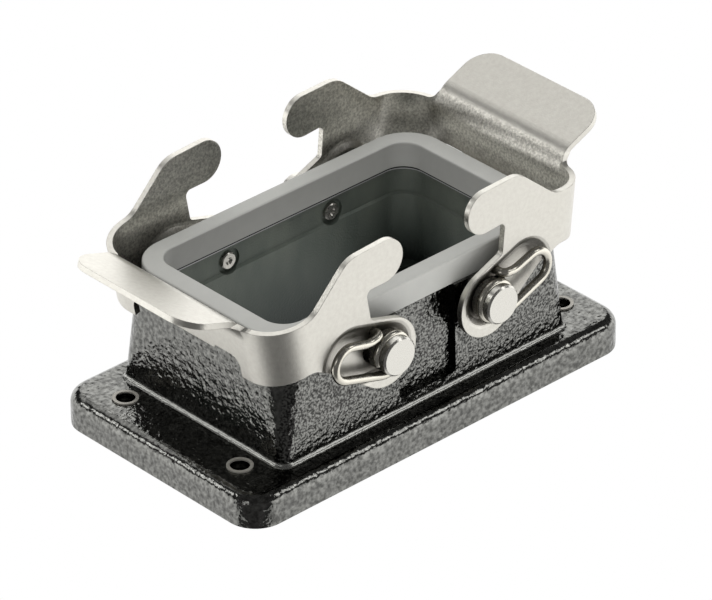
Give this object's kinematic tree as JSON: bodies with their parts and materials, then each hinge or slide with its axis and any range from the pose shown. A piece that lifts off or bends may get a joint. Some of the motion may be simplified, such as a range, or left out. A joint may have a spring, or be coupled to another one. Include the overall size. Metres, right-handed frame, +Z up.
{
  "type": "rectangular connector bulkhead housing",
  "caption": "Rectangular bulkhead housing for a heavy duty connector: flanged black casting, grey top seal and two hooked steel levers on sprung pivots.",
  "frame": {"origin": "centre of the flange's underside, which is also the centre of the four screw holes", "axes": "+Z up out of the mounting panel towards the seal, +X along the long side, Y across it along the pivot axes"},
  "size_m": [0.107, 0.0584, 0.0479],
  "materials": {
    "hammertone_cast": "black hammertone enamel outside, bare dark casting inside",
    "grey_rubber": "matte",
    "black_rubber": "matte",
    "lever_steel": "satin stainless",
    "pin_steel": "turned, smooth",
    "spring_wire": "drawn wire, smooth"
  },
  "bodies": {
    "housing": {"housing": "hammertone_cast", "top_seal": "grey_rubber", "flange_gasket": "black_rubber", "pin_left_front": "pin_steel", "pin_left_back": "pin_steel", "pin_right_front": "pin_steel", "pin_right_back": "pin_steel"},
    "lever_left": {"lever_left": "lever_steel", "spring_left_front": "spring_wire", "spring_left_back": "spring_wire"},
    "lever_right": {"lever_right": "lever_steel", "spring_right_front": "spring_wire", "spring_right_back": "spring_wire"}
  },
  "joints": [
    {"name": "lever_left_pivot", "type": "hinge", "parent": "housing", "child": "lever_left", "pos_m": [-0.01325, 0, 0.0242], "axis": [0, -1, 0], "range_deg": [-10.4, 18.6]},
    {"name": "lever_right_pivot", "type": "hinge", "parent": "housing", "child": "lever_right", "pos_m": [0.01325, 0, 0.0242], "axis": [0, 1, 0], "range_deg": [-5.5, 23.5]}
  ]
}
